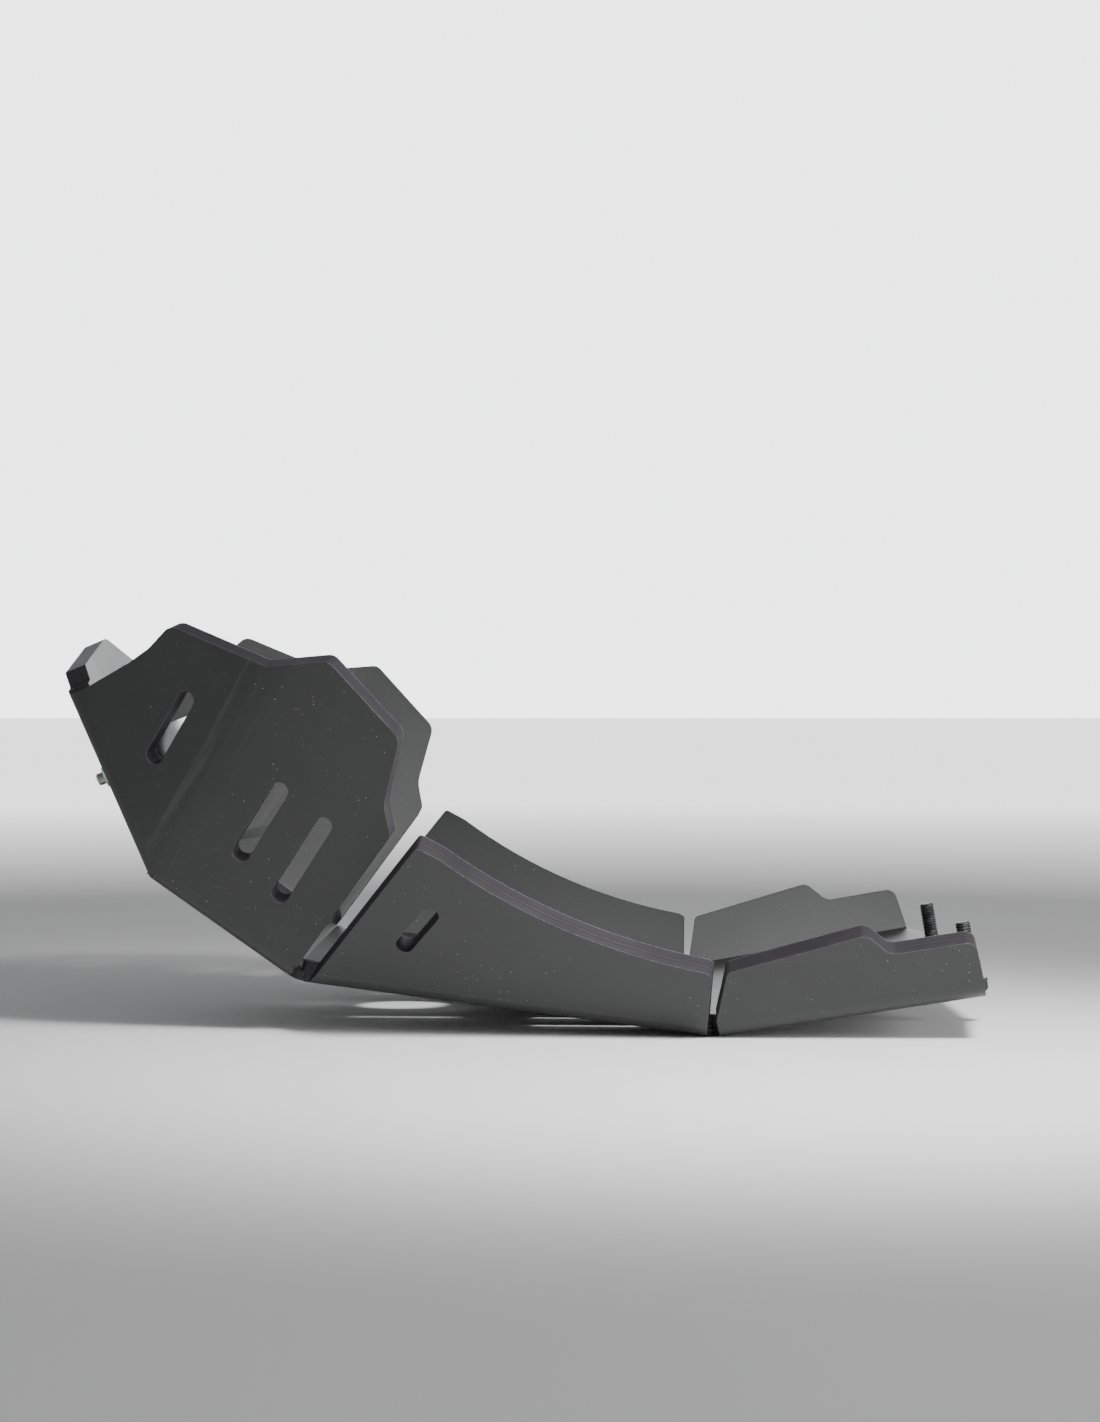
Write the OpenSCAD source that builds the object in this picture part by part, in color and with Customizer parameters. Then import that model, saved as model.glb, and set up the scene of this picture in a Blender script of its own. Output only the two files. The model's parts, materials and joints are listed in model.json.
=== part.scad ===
// Motorcycle skid plate: one polyethylene sheet, cut flat and folded warm into a trough,
// with the clamps and bolts that hold it to the frame. Millimetres.
// X runs to the rear of the motorcycle, Y to its right side and Z up.
// The origin is the middle of the belly's underside.

/* [Sheet] */
// Thickness of the sheet
thickness = 8; // [5:0.5:10]
// Inside radius of the sharp folds
fold_inner_r = 1; // [0.5:0.5:3]
// Outside radius of the soft fold across each front wing
soft_fold_r = 120; // [60:5:150]
// Diameter of the relief holes where folds meet
relief_d = 4; // [2:0.5:6]

/* [Side profile] */
// Slope of the front riser, in degrees below level
riser_slope = 66.9; // [60:0.1:72]
// Length of the front riser beside its folds
riser_len = 72.5; // [66:0.5:80]
// Slope of the ramp behind the riser
ramp_slope = 35.4; // [30:0.1:40]
// Length of the ramp
ramp_len = 65.4; // [64:0.1:72]
// Slope of the belly
belly_slope = 7; // [4:0.5:10]
// Length of the belly
belly_len = 154.4; // [153:0.1:165]
// Slope of the tail behind the belly, in degrees above level
tail_slope = 9.3; // [5:0.1:14]
// Length of the tail beside its wings
tail_len = 96.7; // [96.5:0.1:104]
// Rise of the riser's crown above its corners
crown_rise = 22; // [14:1:26]

/* [Half widths at the folds] */
// Half width at the top of the riser
top_half_w = 101.5; // [98:0.5:106]
// Half width where the riser meets the ramp
ramp_half_w = 95.5; // [92:0.5:99]
// Half width where the ramp meets the belly
belly_half_w = 93.5; // [90:0.5:98]
// Half width where the belly meets the tail
tail_half_w = 110.5; // [104:0.5:114]
// Half width at the rear end
rear_half_w = 120.5; // [115:0.5:126]

/* [Wings] */
// Fold of the front wings up from the ramp, in degrees
front_fold_angle = 66.5; // [62:0.5:70]
// Fold of the middle wings up from the belly
mid_fold_angle = 53.2; // [48:0.2:60]
// Fold of the rear wings up from the tail
rear_fold_angle = 61.7; // [56:0.1:68]
// Angle of the soft fold from the ramp's edge
soft_fold_angle = 94.35; // [92:0.05:97]
// Height of the forward peak above the riser's edge
peak_h = 51.2; // [48:0.2:56]
// Reach of the forward peak ahead of the riser's corner
peak_reach = 9.1; // [6:0.1:12]
// Height of the notch at the top of the soft fold
notch_h = 97.6; // [94:0.1:102]
// Height of the front wing's top corner above the ramp's edge
front_wing_h = 113; // [108:0.5:116]
// Height of the front wing's upright rear edge
front_wing_rear_h = 71; // [66:0.5:76]
// Gap between the front wing's rear edge and the belly's front fold
front_wing_gap = 2.6; // [2.4:0.1:5]
// Gap between that fold and the middle wing
mid_wing_front_gap = 5.4; // [4.5:0.1:8]
// Gap between the middle wing and the belly's rear fold
mid_wing_rear_gap = 3.8; // [3.5:0.1:6]
// Height of the middle wing at its front corner
mid_wing_h = 70; // [64:0.5:76]
// Height of the middle wing at its rear corner
mid_wing_rear_h = 29.8; // [27:0.2:34]
// Radius of the middle wing's hollow top edge
mid_wing_sweep_r = 190; // [150:5:260]
// Slope of the middle wing's front edge, in degrees from the fold
mid_wing_slope = 60.8; // [56:0.2:66]
// Gap between the belly's rear fold and the rear wing
rear_wing_gap = 1; // [1:0.1:3]
// Height of the rear wing at its peak
rear_wing_h = 33.5; // [31:0.5:38]
// Height of the rear wing behind its step
rear_wing_low_h = 24; // [21:0.5:27]

/* [Vents] */
// Width of each vent slot
vent_w = 6.5; // [5:0.5:8]
// Length of the short vent in the front wing's forward face
vent_1_len = 32.3; // [26:0.1:36]
// Length of the middle vent in the front wing
vent_2_len = 36.2; // [30:0.1:42]
// Length of the rear vent in the front wing
vent_3_len = 39.6; // [34:0.1:44]
// Length of the vent in the middle wing
mid_vent_len = 24.4; // [20:0.1:28]
// Length of each mud slot in the belly and the riser
mud_slot_len = 42; // [30:1:50]
// Diameter of the oil drain opening in the belly
drain_d = 34; // [26:1:40]
// Distance of the drain opening behind the belly's front fold
drain_x = 43.2; // [38:0.1:50]

/* [Front fixings] */
// Diameter of the frame tube that each front clamp holds
tube_d = 28; // [24:0.5:30]
// Distance of each frame tube's axis inside the riser's narrower end
tube_inset = 18.5; // [17:0.5:20]
// Thickness of the clamp's rubber liner
liner_t = 1.5; // [1:0.5:2]
// Thickness of the clamp's steel strip
strip_t = 1.5; // [1:0.1:2]
// Width of the clamp's steel strip
strip_w = 15; // [12:1:18]
// Thread diameter of the front bolts
front_bolt_d = 5; // [4:1:6]
// Distance of each front bolt inside its tube's axis
clamp_reach = 21.5; // [20.5:0.1:23]
// Height of the front bolts above the ramp fold, along the riser
front_bolt_up = 41.5; // [36:0.5:46]
// Thread that stands out past each front nut
thread_out = 3; // [1.5:0.5:4]

/* [Rear fixings] */
// Thread diameter of the rear bolts
rear_bolt_d = 6; // [5:1:6]
// Distance of each rear bolt from the middle
rear_bolt_y = 55; // [48:1:58]
// Length of the tail's middle beyond the wings
tail_tab = 7.8; // [6:0.2:9]
// Distance of each rear bolt from the tail's rear edge
rear_bolt_inset = 4; // [3:0.5:10]
// Length of each rear bolt above the sheet
rear_thread_len = 14; // [10:1:20]

/* [Hidden] */
$fn = 48;

// The left side of the motorcycle; the right wings are its mirror image
left_side = [0, -1, 0];
fold_r = fold_inner_r + thickness;
// Clearance past the sheet's faces for every cut
through = 1;
// Each bend stands a hair proud and tucks in under the flats beside it, and each flat
// laps into the bend, so that their faces cross cleanly
hair = 0.03;
tuck = 7;
lap = 0.5;
// The two faces of a front wing run past the soft fold by this, and the rounding trims it
fold_lip = 1.5;
arc_steps = 8;

// Centres of the vents from each wing's lower front corner, and their turn from the fold
vent_1_centre = [-47.8, 34.2];
vent_1_turn = 123.5;
vent_2_centre = [21.9, 45.5];
vent_3_centre = [41.9, 42.6];
front_vent_turn = 92.5;
mid_vent_centre = [45.2, 32.2];
mid_vent_turn = 59.3;

// Places of the mud slots: along the belly, beside its middle, and on the riser
mud_slot_x = [46, 111];
inner_slot_y = 46;
outer_slot_y = 74;
riser_slot_y = 18;

// Steps of the outlines, along and across each fold, with the radii of their corners.
// Riser: from its corner to the foot and the top of the shoulder beside the crown
shoulder_foot = [1.5, 8, 2];
shoulder_top = [7.5, 11.5, 3];
crown_r = 60;
// Forward face: from the peak to the hollow below it, then to the riser's corner
peak_r = 5;
peak_hollow_drop = 11.7;
peak_hollow_r = 12;
peak_root = [2.5, 21.7];
// Front wing: ends of its flat diagonal edge from the upright rear edge and the top
rear_edge_r = 4;
diagonal_low = [8.3, 8.5, 14];
diagonal_high = [17.3, 8.5, 6];
front_top_len = 16.9;
front_top_r = 4;
// Middle wing: from its corners to the ends of the hollow top edge
mid_corner_r = 1.5;
brow_len = 3;
mid_tip = [2.3, 1.3];
// Rear wing: its front end, its peak and the step behind it
nose_top = [7, 6.7, 2.5];
nose_foot = [4.5, 7.2];
rear_peak_r = 4;
rear_step = [7.2, 31, 5];
rear_end_lean = 1;
rear_end_r = 4;

// Clearances of the bolts in the sheet, the clamps, the washers and the nuts
sheet_clearance = 0.6;
clamp_clearance = 0.4;
washer_clearance = 0.3;
thread_clearance = 0.1;

// The tubes follow the riser's narrower end, and the bolts follow the tubes
tube_y = min(top_half_w, ramp_half_w) - tube_inset;
front_bolt_y = tube_y - clamp_reach;

// Nuts, heads and washers follow the threads they are made for
front_flats = 1.6 * front_bolt_d;
front_head_t = 0.7 * front_bolt_d;
front_nut_t = 0.94 * front_bolt_d;
front_washer_t = 1;
// Chamfer at the tip of every bolt
tip_chamfer = 0.5;
rear_flats = rear_bolt_d * 5 / 3;
rear_head_t = rear_bolt_d * 2 / 3;
rear_washer_t = 1;
// The rear threads are drawn at their pitch diameter, inside their shanks
rear_pitch_d = 0.9 * rear_bolt_d;
// Place of the rear bolts along the tail
rear_bolt_x = tail_len + tail_tab - rear_bolt_inset;
// Length of each clamp's foot past its bolt
foot_past = 7;
// Radius of the rounded corners of the tail's rear edge
tail_corner_r = 20;

// Fold points of the side profile, on the sheet's outer face
belly_start = -along(belly_slope) * belly_len / 2;
belly_end = along(belly_slope) * belly_len / 2;
ramp_start = belly_start - along(ramp_slope) * ramp_len;
riser_start = ramp_start - along(riser_slope) * riser_len;
tail_end = belly_end + along(-tail_slope) * tail_len;

// Frames of the four flat panels of the spine: origin, along, left, outward
riser_frame = [riser_start, along(riser_slope), left_side, outward(riser_slope)];
ramp_frame = [ramp_start, along(ramp_slope), left_side, outward(ramp_slope)];
belly_frame = [belly_start, along(belly_slope), left_side, outward(belly_slope)];
tail_frame = [belly_end, along(-tail_slope), left_side, outward(-tail_slope)];

// Frames of the left wings: origin on the fold line, along it, up the wing, outward
front_frame = wing_frame(edge_point(ramp_start, ramp_half_w), edge_point(belly_start, belly_half_w),
    outward(ramp_slope), front_fold_angle);
mid_frame = wing_frame(edge_point(belly_start, belly_half_w), edge_point(belly_end, tail_half_w),
    outward(belly_slope), mid_fold_angle);
rear_frame = wing_frame(edge_point(belly_end, tail_half_w), edge_point(tail_end, rear_half_w),
    outward(-tail_slope), rear_fold_angle);

// The forward face lies on the riser's edge and on the soft fold
soft_dir = front_frame[1] * cos(soft_fold_angle) + front_frame[2] * sin(soft_fold_angle);
riser_edge_dir = unit(edge_point(ramp_start, ramp_half_w) - edge_point(riser_start, top_half_w));
forward_out = unit(cross(riser_edge_dir, soft_dir));
forward_frame = [front_frame[0], riser_edge_dir, cross(forward_out, riser_edge_dir), forward_out];
forward_bend = angle_between(forward_out, outward(riser_slope));
soft_fold_turn = angle_between(forward_out, front_frame[3]);
forward_fold_angle = angle_between(riser_edge_dir, soft_dir);

// Distance from each virtual fold line to where the bend starts
forward_set = setback(forward_bend);
front_set = setback(front_fold_angle);
mid_set = setback(mid_fold_angle);
rear_set = setback(rear_fold_angle);

// Where the wings' upright edges meet the fold lines, to a tenth of a millimetre
front_wing_end = tenths(fold_line_len(ramp_len, ramp_half_w, belly_half_w) - front_wing_gap);
mid_wing_end = tenths(fold_line_len(belly_len, belly_half_w, tail_half_w) - mid_wing_rear_gap);
rear_wing_end = tenths(fold_line_len(tail_len, tail_half_w, rear_half_w));

function unit(v) = v / norm(v);
function tenths(x) = round(10 * x) / 10;
function along(slope) = [cos(slope), 0, -sin(slope)];
function outward(slope) = [-sin(slope), 0, -cos(slope)];
function edge_point(fold, half_w) = fold + left_side * half_w;
function angle_between(a, b) = acos(a * b);
function setback(bend) = fold_r * tan(bend / 2);
function polar(r, a) = [r * cos(a), r * sin(a)];
function fold_line_len(length, from_w, to_w) = norm([length, to_w - from_w]);

function wing_frame(from, to, spine_out, bend) =
    let (dir = unit(to - from), side = cross(spine_out, dir))
    [from, dir, side * cos(bend) - spine_out * sin(bend), side * sin(bend) + spine_out * cos(bend)];

// Arc that rounds the corner at b between a and c; each corner is [x, y, radius]
function corner_arc(a, b, c) =
    let (u = unit([a.x - b.x, a.y - b.y]), v = unit([c.x - b.x, c.y - b.y]),
        half = angle_between(u, v) / 2, centre = [b.x, b.y] + unit(u + v) * b[2] / sin(half),
        turn = sign(u.x * v.y - u.y * v.x), start = atan2(-(u + v).y, -(u + v).x), sweep = 90 - half)
    b[2] == 0 ? [[b.x, b.y]]
    : [for (i = [0:arc_steps]) centre + polar(b[2], start + turn * sweep * (1 - 2 * i / arc_steps))];

function rounded(corners) =
    let (n = len(corners))
    [for (i = [0:n - 1]) each corner_arc(corners[(i + n - 1) % n], corners[i], corners[(i + 1) % n])];

// Upper corner of a lip beside the soft fold, a little below the notch
function lip_end(notch, lip) = [notch.x * 0.98 + lip.x, notch.y * 0.98 + lip.y, 0];

// Half width of a spine panel's flat part at a place along it
function flat_half_w(x, length, from_w, to_w, set) =
    from_w + (to_w - from_w) * x / length - (set - lap) * fold_line_len(length, from_w, to_w) / length;

module at_frame(f) {
    multmatrix([
        [f[1].x, f[2].x, f[3].x, f[0].x],
        [f[1].y, f[2].y, f[3].y, f[0].y],
        [f[1].z, f[2].z, f[3].z, f[0].z],
        [0, 0, 0, 1]
    ]) children();
}

// The outline as a flat piece of sheet with its outer face in the frame's plane
module sheet(f) {
    at_frame(f) translate([0, 0, -thickness]) linear_extrude(thickness) children();
}

// A cut square through the sheet
module sheet_cut(f) {
    at_frame(f) translate([0, 0, -thickness - through]) linear_extrude(thickness + 2 * through) children();
}

// Round bend in the frame of its first flat: x along the fold, z outward on that flat
module bend_sector(turn, length) {
    rotate(-tuck) rotate_extrude(angle = turn + 2 * tuck)
        translate([fold_inner_r + hair, 0]) square([thickness, length]);
}

// A wing with its bend: both run past the outline, which then cuts them square in one go.
// The outline reaches one fold radius below the fold line.
module wing(f, bend, from, to, top) {
    margin = 2 * through;
    at_frame(f) intersection() {
        union() {
            translate([from - 2 * margin, setback(bend) - lap, -thickness])
                cube([to - from + 4 * margin, top + margin, thickness]);
            at_frame([[from - margin, setback(bend), -fold_r], [0, 0, 1], [0, -1, 0], [1, 0, 0]])
                bend_sector(bend, to - from + 2 * margin);
        }
        translate([0, 0, -2 * fold_r]) linear_extrude(2 * fold_r + through) children();
    }
}

// Bend across the spine at a fold point; f is the panel before it
module spine_bend(f, length, turn, half_w) {
    at_frame(f) at_frame([[length - setback(turn), -half_w, -fold_r], [0, 0, 1], [1, 0, 0], [0, 1, 0]])
        bend_sector(turn, 2 * half_w);
}

// Flat part of a spine panel between two bends, as wide as the folds leave it
module spine_outline(length, from_w, to_w, set, gap_before, gap_after) {
    x0 = gap_before - lap;
    x1 = length - gap_after + lap;
    w0 = flat_half_w(x0, length, from_w, to_w, set);
    w1 = flat_half_w(x1, length, from_w, to_w, set);
    polygon([[x0, -w0], [x1, -w1], [x1, w1], [x0, w0]]);
}

module slot(length, width) {
    translate([-(length - width) / 2, 0]) circle(d = width);
    translate([(length - width) / 2, 0]) circle(d = width);
    square([length - width, width], center = true);
}

module both_sides() {
    children();
    mirror([0, 1, 0]) children();
}

module riser_panel() {
    corner_w = flat_half_w(0, riser_len, top_half_w, ramp_half_w, forward_set);
    low_x = riser_len - setback(riser_slope - ramp_slope) + lap;
    low_w = flat_half_w(low_x, riser_len, top_half_w, ramp_half_w, forward_set);
    // The flat's corner stands just above the square end of the bend beside it
    corner_x = -(top_half_w - corner_w) * (top_half_w - ramp_half_w) / riser_len - 2 * lap;
    // Each shoulder steps up beside the corner, and one wide arc joins them
    foot = [corner_x - shoulder_foot.x, corner_w - shoulder_foot.y];
    top = [corner_x - shoulder_top.x, corner_w - shoulder_top.y];
    sheet(riser_frame) polygon(rounded([
        [low_x, -low_w, 0], [low_x, low_w, 0], [corner_x, corner_w, 0],
        [foot.x, foot.y, shoulder_foot.z], [top.x, top.y, shoulder_top.z],
        [-crown_rise, 0, crown_r],
        [top.x, -top.y, shoulder_top.z], [foot.x, -foot.y, shoulder_foot.z],
        [corner_x, -corner_w, 0]
    ]));
}

module spine() {
    riser_panel();
    sheet(ramp_frame) spine_outline(ramp_len, ramp_half_w, belly_half_w, front_set,
        setback(riser_slope - ramp_slope), setback(ramp_slope - belly_slope));
    sheet(belly_frame) spine_outline(belly_len, belly_half_w, tail_half_w, mid_set,
        setback(ramp_slope - belly_slope), setback(belly_slope + tail_slope));
    tail_panel();
    spine_bend(riser_frame, riser_len, riser_slope - ramp_slope, ramp_half_w - front_set);
    spine_bend(ramp_frame, ramp_len, ramp_slope - belly_slope, belly_half_w - front_set);
    spine_bend(belly_frame, belly_len, belly_slope + tail_slope, tail_half_w - rear_set);
}

module tail_panel() {
    front_x = setback(belly_slope + tail_slope) - lap;
    front_w = flat_half_w(front_x, tail_len, tail_half_w, rear_half_w, rear_set);
    corner_w = flat_half_w(tail_len, tail_len, tail_half_w, rear_half_w, rear_set);
    tab_w = rear_bolt_y + rear_bolt_d / 2;
    tab_x = tail_len + tail_tab;
    sheet(tail_frame) polygon(rounded([
        [front_x, front_w, 0], [front_x, -front_w, 0], [tail_len, -corner_w, 0],
        [tab_x, -tab_w, tail_corner_r], [tab_x, tab_w, tail_corner_r], [tail_len, corner_w, 0]
    ]));
}

module forward_face() {
    notch = polar(notch_h, forward_fold_angle);
    peak_x = -riser_len - peak_reach;
    lip = polar(fold_lip, forward_fold_angle - 90);
    wing(forward_frame, forward_bend, peak_x, 0, notch.y) polygon(rounded([
        [0, -fold_r, 0], [0, 0, 0], [lip.x, lip.y, 0], lip_end(notch, lip), [notch.x, notch.y, 0],
        [peak_x, peak_h, peak_r],
        [peak_x + peak_reach / 2, peak_h - peak_hollow_drop, peak_hollow_r],
        [-riser_len - peak_root.x, peak_h - peak_root.y, 0],
        [-riser_len, forward_set + 2 * through, 0], [-riser_len, -fold_r, 0]
    ]));
}

module front_face() {
    notch = polar(notch_h, soft_fold_angle);
    // A flat diagonal edge leads from the upright rear edge up to the top
    low = [front_wing_end - diagonal_low.x, front_wing_rear_h + diagonal_low.y];
    high = [front_wing_end - diagonal_high.x, front_wing_h - diagonal_high.y];
    lip = polar(fold_lip, soft_fold_angle + 90);
    wing(front_frame, front_fold_angle, notch.x, front_wing_end, front_wing_h) polygon(rounded([
        lip_end(notch, lip), [lip.x, lip.y, 0], [0, 0, 0], [0, -fold_r, 0],
        [front_wing_end, -fold_r, 0], [front_wing_end, front_wing_rear_h, rear_edge_r],
        [low.x, low.y, diagonal_low.z], [high.x, high.y, diagonal_high.z],
        [notch.x + front_top_len, front_wing_h, front_top_r], [notch.x, notch.y, 0]
    ]));
}

// Rounds the ridge between the two faces of the front wing to a wide soft fold
module soft_fold_cut() {
    ridge = unit(forward_out + front_frame[3]);
    across = unit(cross(ridge, soft_dir));
    reach = soft_fold_r * sin(soft_fold_turn / 2);
    // Just short of touching both faces, the rounding crosses them in two clean edges
    short = 0.02;
    depth = soft_fold_r / cos(soft_fold_turn / 2) - short;
    at_frame([front_frame[0] - soft_dir * through, across, ridge, cross(across, ridge)])
        linear_extrude(front_wing_h + notch_h)
            difference() {
                translate([-reach, -2 * through]) square([2 * reach, 3 * through]);
                translate([0, -depth]) circle(r = soft_fold_r, $fn = 360);
            }
}

module front_wing() {
    difference() {
        union() {
            forward_face();
            front_face();
        }
        sheet_cut(forward_frame) translate(vent_1_centre) rotate(vent_1_turn) slot(vent_1_len, vent_w);
        sheet_cut(front_frame) translate(vent_2_centre) rotate(front_vent_turn) slot(vent_2_len, vent_w);
        sheet_cut(front_frame) translate(vent_3_centre) rotate(front_vent_turn) slot(vent_3_len, vent_w);
    }
}

module mid_wing() {
    heel = mid_wing_front_gap - fold_r / tan(mid_wing_slope);
    corner = [mid_wing_front_gap + mid_wing_h / tan(mid_wing_slope), mid_wing_h, mid_corner_r];
    // Hollow top edge from just behind the front corner to the rear one
    brow = [corner.x + brow_len, mid_wing_h];
    tip = [mid_wing_end - mid_tip.x, mid_wing_rear_h];
    chord = tip - brow;
    half = asin(norm(chord) / 2 / mid_wing_sweep_r);
    centre = brow + chord / 2 + unit([-chord.y, chord.x]) * mid_wing_sweep_r * cos(half);
    first = atan2(brow.y - centre.y, brow.x - centre.x);
    sweep = [for (i = [0:arc_steps * 2]) centre + polar(mid_wing_sweep_r, first + half * i / arc_steps)];
    difference() {
        wing(mid_frame, mid_fold_angle, 0, mid_wing_end, mid_wing_h) polygon(concat(
            [[heel, -fold_r]],
            corner_arc([heel, -fold_r], corner, sweep[1]),
            [for (i = [1:arc_steps * 2]) sweep[i]],
            [[mid_wing_end, tip.y - mid_tip.y], [mid_wing_end, -fold_r]]
        ));
        sheet_cut(mid_frame) translate(mid_vent_centre) rotate(mid_vent_turn) slot(mid_vent_len, vent_w);
    }
}

module rear_wing() {
    // The top edge climbs to a step, then runs level to the rear end
    step_x = rear_wing_end - rear_step.y;
    nose = [rear_wing_gap + nose_top.x, rear_wing_h - nose_top.y];
    wing(rear_frame, rear_fold_angle, 0, rear_wing_end, rear_wing_h) polygon(rounded([
        [rear_wing_gap, -fold_r, 0], [rear_wing_end, -fold_r, 0], [rear_wing_end, rear_set + 2 * through, 0],
        [rear_wing_end - rear_end_lean, rear_wing_low_h, rear_end_r],
        [step_x, rear_wing_low_h, rear_step.z], [step_x - rear_step.x, rear_wing_h, rear_peak_r],
        [nose.x, nose.y, nose_top.z], [rear_wing_gap + nose_foot.x, nose.y - nose_foot.y, 0],
        [rear_wing_gap, rear_set + 2 * through, 0]
    ]));
}

// Round holes where the folds meet, so that the warm sheet doesn't tear
module fold_reliefs() {
    relief(edge_point(ramp_start, ramp_half_w - front_set),
        unit(outward(ramp_slope) + outward(riser_slope)), relief_d);
    relief(edge_point(belly_start, belly_half_w - mid_set), outward(belly_slope), relief_d * 1.5);
    relief(edge_point(belly_end, tail_half_w - mid_set), outward(belly_slope), relief_d);
}

module relief(at, dir, d) {
    side = unit(cross(dir, [1, 0, 0]));
    at_frame([at, side, cross(dir, side), dir]) cylinder(d = d, h = 5 * thickness, center = true);
}

// Openings that only show from below: mud slots, the drain opening and the bolt holes
module spine_openings() {
    notch_w = rear_bolt_d + sheet_clearance;
    sheet_cut(belly_frame) {
        translate([drain_x, 0]) circle(d = drain_d);
        for (side = [-1, 1]) {
            for (x = mud_slot_x)
                translate([x, side * inner_slot_y]) slot(mud_slot_len, vent_w);
            translate([mud_slot_x[1], side * outer_slot_y]) slot(mud_slot_len, vent_w);
        }
    }
    for (side = [-1, 1]) {
        sheet_cut(riser_frame) translate([riser_len - front_bolt_up, side * front_bolt_y])
            circle(d = front_bolt_d + sheet_clearance);
        sheet_cut(riser_frame) translate([riser_len - front_bolt_up, side * riser_slot_y])
            slot(mud_slot_len, vent_w);
        sheet_cut(tail_frame) translate([rear_bolt_x, side * rear_bolt_y]) {
            circle(d = notch_w);
            translate([0, -notch_w / 2]) square([rear_bolt_inset + through, notch_w]);
        }
    }
}

module skid_plate() {
    color("#2b2b2d") difference() {
        union() {
            spine();
            both_sides() {
                front_wing();
                mid_wing();
                rear_wing();
            }
        }
        both_sides() {
            soft_fold_cut();
            fold_reliefs();
        }
        spine_openings();
    }
}

// Places of the fixings, with z = 0 on the sheet's outer face
module at_front_bolt(side) {
    at_frame(riser_frame) translate([riser_len - front_bolt_up, side * front_bolt_y, 0]) children();
}

module at_rear_bolt(side) {
    at_frame(tail_frame) translate([rear_bolt_x, side * rear_bolt_y, 0]) children();
}

module hexagon(across_flats) {
    circle(r = across_flats / 2 / cos(30), $fn = 6);
}

// Steel strip round the frame tube, its two ends lying together under the bolt
module front_clamp(side) {
    ring_r = tube_d / 2 + liner_t;
    foot_end = front_bolt_y - foot_past;
    // The lower strip stops where it meets the ring
    lower_end = tube_y - sqrt(2 * strip_t * ring_r);
    color("#8d9196") at_frame(riser_frame)
        translate([riser_len - front_bolt_up - strip_w / 2, 0, -thickness])
            difference() {
                rotate([90, 0, 90]) linear_extrude(strip_w) mirror([side < 0 ? 1 : 0, 0]) difference() {
                    union() {
                        translate([tube_y, -ring_r - strip_t]) circle(r = ring_r + strip_t, $fn = 96);
                        translate([foot_end, -strip_t]) square([tube_y - foot_end, strip_t]);
                        translate([foot_end, -2 * strip_t]) square([lower_end - foot_end, strip_t]);
                    }
                    translate([tube_y, -ring_r - strip_t]) circle(r = ring_r, $fn = 96);
                }
                translate([strip_w / 2, side * front_bolt_y, -2 * strip_t - through])
                    cylinder(d = front_bolt_d + clamp_clearance, h = 2 * (strip_t + through));
            }
}

// Rubber liner between the strip and the tube
module clamp_liner(side) {
    color("#1d1d1e") at_frame(riser_frame)
        translate([riser_len - front_bolt_up, side * tube_y, -thickness - strip_t - liner_t - tube_d / 2])
            rotate([0, 90, 0]) difference() {
                cylinder(d = tube_d + 2 * liner_t, h = strip_w, center = true, $fn = 96);
                cylinder(d = tube_d, h = strip_w + 2 * through, center = true, $fn = 96);
            }
}

// Hex bolt from behind, its chamfered end standing out of the nut
module front_bolt(side) {
    seat = -thickness - 2 * strip_t;
    tip = front_washer_t + front_nut_t + thread_out;
    color("#c9cec9") at_front_bolt(side) {
        translate([0, 0, seat - front_head_t]) linear_extrude(front_head_t) hexagon(front_flats);
        translate([0, 0, seat]) cylinder(d = front_bolt_d, h = tip - tip_chamfer - seat);
        translate([0, 0, tip - tip_chamfer])
            cylinder(d1 = front_bolt_d, d2 = front_bolt_d - 2 * tip_chamfer, h = tip_chamfer);
    }
}

module front_washer(side) {
    color("#b9bec0") at_front_bolt(side) linear_extrude(front_washer_t)
        difference() {
            circle(d = 2 * front_bolt_d);
            circle(d = front_bolt_d + washer_clearance);
        }
}

module front_nut(side) {
    color("#c9cec9") at_front_bolt(side) translate([0, 0, front_washer_t]) linear_extrude(front_nut_t)
        difference() {
            hexagon(front_flats);
            circle(d = front_bolt_d + thread_clearance);
        }
}

// Hex bolt from below, its thread standing up for the frame
module rear_bolt(side) {
    color("#262626") at_rear_bolt(side) {
        translate([0, 0, rear_washer_t]) linear_extrude(rear_head_t) hexagon(rear_flats);
        translate([0, 0, -thickness]) cylinder(d = rear_bolt_d, h = thickness + rear_washer_t);
        translate([0, 0, tip_chamfer - thickness - rear_thread_len])
            cylinder(d = rear_pitch_d, h = rear_thread_len - tip_chamfer);
        translate([0, 0, -thickness - rear_thread_len])
            cylinder(d1 = rear_pitch_d - 2 * tip_chamfer, d2 = rear_pitch_d, h = tip_chamfer);
    }
}

module rear_washer(side) {
    color("#2d2d2e") at_rear_bolt(side) linear_extrude(rear_washer_t)
        difference() {
            circle(d = 2 * rear_bolt_d);
            circle(d = rear_bolt_d + washer_clearance);
        }
}

skid_plate();
front_clamp(1);  // front_clamp_left
front_clamp(-1);  // front_clamp_right
clamp_liner(1);  // clamp_liner_left
clamp_liner(-1);  // clamp_liner_right
front_bolt(1);  // front_bolt_left
front_bolt(-1);  // front_bolt_right
front_washer(1);  // front_washer_left
front_washer(-1);  // front_washer_right
front_nut(1);  // front_nut_left
front_nut(-1);  // front_nut_right
rear_bolt(1);  // rear_bolt_left
rear_bolt(-1);  // rear_bolt_right
rear_washer(1);  // rear_washer_left
rear_washer(-1);  // rear_washer_right
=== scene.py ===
"""Looks of a motorcycle's folded skid plate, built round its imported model.

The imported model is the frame: its mounts give the directions of the fixings, and its nodes give their places
and lengths. Lengths are in metres. X runs to the rear of the motorcycle, Y to its right side and Z up.
"""

import json
import logging
import math
import random
from collections.abc import Callable
from dataclasses import dataclass, field
from enum import Enum

import bmesh
import bpy
from mathutils import Matrix, Vector
from mathutils.bvhtree import BVHTree


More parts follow.
